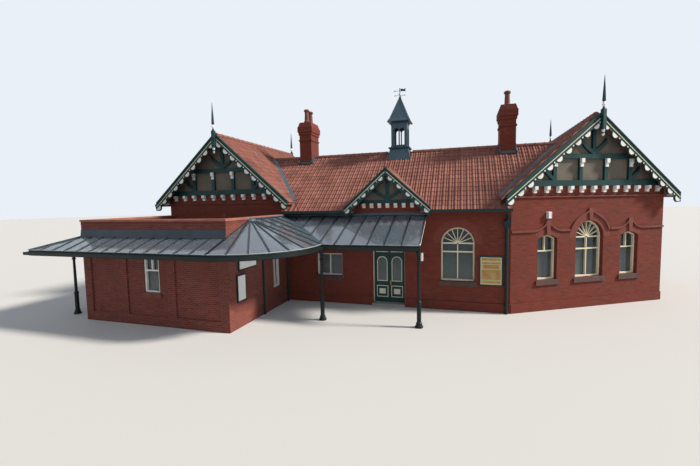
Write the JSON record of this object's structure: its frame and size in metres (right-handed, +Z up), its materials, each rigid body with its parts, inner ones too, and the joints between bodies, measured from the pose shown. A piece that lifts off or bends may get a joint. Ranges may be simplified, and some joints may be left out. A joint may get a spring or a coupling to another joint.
{
  "type": "railway station building",
  "caption": "Single-storey red brick station building with two gabled wings, fretted bargeboards, a ridge cupola, a low flat-roofed block and a glazed canopy with a conical corner.",
  "frame": {"origin": "on the ground below the outer face of the main front wall, on the entrance axis", "axes": "+X to the right along the front, +Y into the building, +Z up"},
  "size_m": [25.7382, 16.25, 10.6103],
  "materials": {
    "brick": "matte",
    "tile": "matte",
    "joinery_green": "satin",
    "render": "matte",
    "white_paint": "satin",
    "cream_paint": "satin",
    "glass": "clear",
    "sill_stone": "matte",
    "lead": "satin",
    "iron_green": "satin",
    "canopy_bars": "satin",
    "floor": "matte",
    "board": "satin"
  },
  "bodies": {
    "house": {"bargeboard_scallops": "white_paint", "bargeboards": "joinery_green", "canopy_frame": "canopy_bars", "canopy_glass": "glass", "canopy_gutter": "iron_green", "canopy_posts": "iron_green", "chimney_pots": "tile", "chimneys": "brick", "cupola_base": "lead", "cupola_lantern": "lead", "cupola_roof": "lead", "door_hinges": "iron_green", "downpipes": "iron_green", "eaves_gutters": "iron_green", "entrance_frame": "joinery_green", "entrance_gable_roof": "tile", "entrance_gable_wall": "brick", "entrance_step": "floor", "floor_slab": "floor", "front_wall_left": "brick", "front_wall_over_door": "brick", "front_wall_right": "brick", "gable_corbels": "white_paint", "gable_finials": "joinery_green", "gable_panels": "render", "gable_timbers": "joinery_green", "hood_moulds": "sill_stone", "lead_flashings": "lead", "left_wing_front_wall": "brick", "left_wing_rear_wall": "brick", "left_wing_roof": "tile", "left_wing_side_wall": "brick", "low_coping": "sill_stone", "low_end_wall": "brick", "low_front_wall": "brick", "low_roof": "lead", "low_side_wall": "brick", "main_roof": "tile", "notice_boards": "board", "rear_wall": "brick", "ridge_tiles": "tile", "right_wing_front_wall": "brick", "right_wing_rear_wall": "brick", "right_wing_return_wall": "brick", "right_wing_roof": "tile", "right_wing_side_wall": "brick", "window_frames": "cream_paint", "window_glass": "glass", "window_sills": "sill_stone"},
    "left_door": {"left_door_leaf": "joinery_green", "left_door_glass": "glass"},
    "right_door": {"right_door_leaf": "joinery_green", "right_door_glass": "glass"},
    "vane": {"weathervane": "iron_green"}
  },
  "joints": [
    {"name": "left_door_hinge", "type": "hinge", "parent": "house", "child": "left_door", "pos_m": [-0.665, 0.3523, 1.2], "axis": [0, 0, 1], "range_deg": [0, 90]},
    {"name": "right_door_hinge", "type": "hinge", "parent": "house", "child": "right_door", "pos_m": [0.665, 0.3523, 1.2], "axis": [0, 0, -1], "range_deg": [0, 90]},
    {"name": "vane_spindle", "type": "hinge", "parent": "house", "child": "vane", "pos_m": [0, 3.65, 10.5], "axis": [0, 0, 1], "continuous": true}
  ]
}
